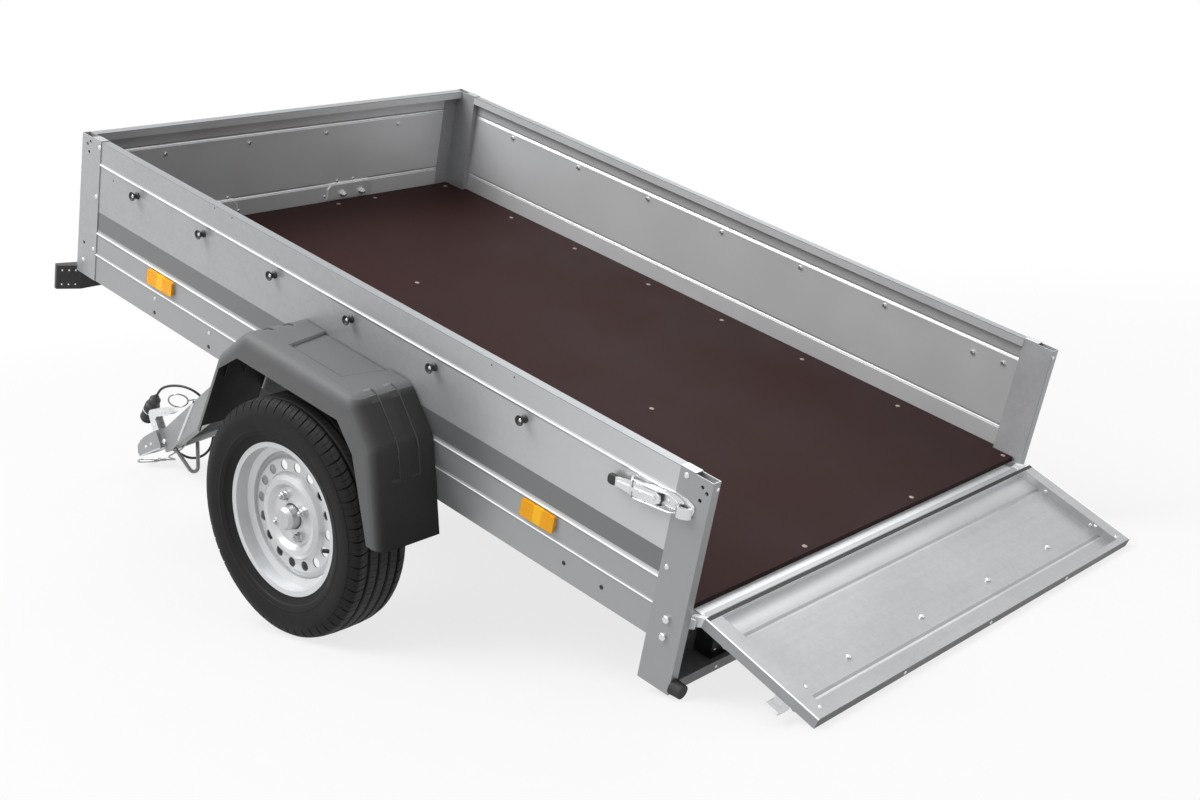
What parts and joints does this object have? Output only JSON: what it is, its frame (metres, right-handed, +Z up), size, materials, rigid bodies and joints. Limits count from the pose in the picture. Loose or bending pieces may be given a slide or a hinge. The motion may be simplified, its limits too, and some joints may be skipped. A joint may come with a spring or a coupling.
{
  "type": "utility trailer",
  "caption": "Single-axle tipping utility trailer with a hinged V drawbar, shown tipped on its tail with the tailgate let down as a ramp.",
  "frame": {"origin": "on the ground, midway along and across the whole trailer as it stands tipped", "axes": "+X towards the coupling, +Y to the trailer's left, +Z up"},
  "size_m": [3.1532, 1.653, 1.1181],
  "materials": {
    "amber_lens": "amber reflector",
    "cord_jacket": "black cable jacket",
    "dark_steel": "dark coated sheet",
    "galvanised": "hot-dip galvanised sheet, dull spangle",
    "lamp_housing": "black moulded lamp body",
    "moulding": "dark grained plastic",
    "plywood": "film-faced dark brown plywood",
    "red_lens": "red lens",
    "soft_rubber": "black rubber",
    "tread": "black rubber with a ribbed tread",
    "wheel_paint": "silver paint",
    "zinc": "bright zinc plating"
  },
  "bodies": {
    "wheel_left": {"hub_cap_left": "zinc", "hub_left": "dark_steel", "rim_left": "wheel_paint", "tyre_left": "tread"},
    "wheel_right": {"hub_cap_right": "zinc", "hub_right": "dark_steel", "rim_right": "wheel_paint", "tyre_right": "tread"},
    "tailgate": {"tailgate_catches": "zinc", "tailgate_knobs": "lamp_housing", "tailgate_panel": "galvanised"},
    "drawbar": {"cable": "cord_jacket", "cable_grommet": "soft_rubber", "coupling": "zinc", "coupling_handle": "zinc", "drawbar_bar_left": "galvanised", "drawbar_bar_right": "galvanised", "drawbar_tie": "galvanised", "plug": "lamp_housing", "prop_stand": "galvanised", "safety_wire": "zinc", "wire_hook": "zinc", "wire_ring": "zinc"},
    "bed": {"axle_arm_left": "galvanised", "axle_arm_right": "galvanised", "axle_beam": "galvanised", "cover_knobs": "lamp_housing", "drawbar_locks": "galvanised", "fender_left": "moulding", "fender_right": "moulding", "floor_bearers": "galvanised", "floor_panel": "plywood", "front_wall": "galvanised", "hinge_brackets": "galvanised", "lamp_beam": "dark_steel", "latches": "zinc", "marker_lamps": "lamp_housing", "post_front_left": "galvanised", "post_front_right": "galvanised", "post_rear_left": "galvanised", "post_rear_right": "galvanised", "rear_lamps": "red_lens", "rear_sill": "galvanised", "side_reflectors": "amber_lens", "side_wall_left": "galvanised", "side_wall_right": "galvanised", "tail_feet": "soft_rubber", "tail_pins": "zinc"}
  },
  "joints": [
    {"name": "wheel_left_spin", "type": "hinge", "parent": "bed", "child": "wheel_left", "pos_m": [-0.26419, 0.749, 0.2736], "axis": [0, 1, 0], "continuous": true},
    {"name": "wheel_right_spin", "type": "hinge", "parent": "bed", "child": "wheel_right", "pos_m": [-0.26419, -0.749, 0.2736], "axis": [0, 1, 0], "continuous": true},
    {"name": "tailgate_hinge", "type": "hinge", "parent": "bed", "child": "tailgate", "pos_m": [-1.26807, 0, 0.15745], "axis": [0, 1, 0], "range_deg": [0, 101.75]},
    {"name": "drawbar_hinge", "type": "hinge", "parent": "bed", "child": "drawbar", "pos_m": [0.12483, 0, 0.526], "axis": [0, -1, 0], "range_deg": [0, 37.77]}
  ]
}
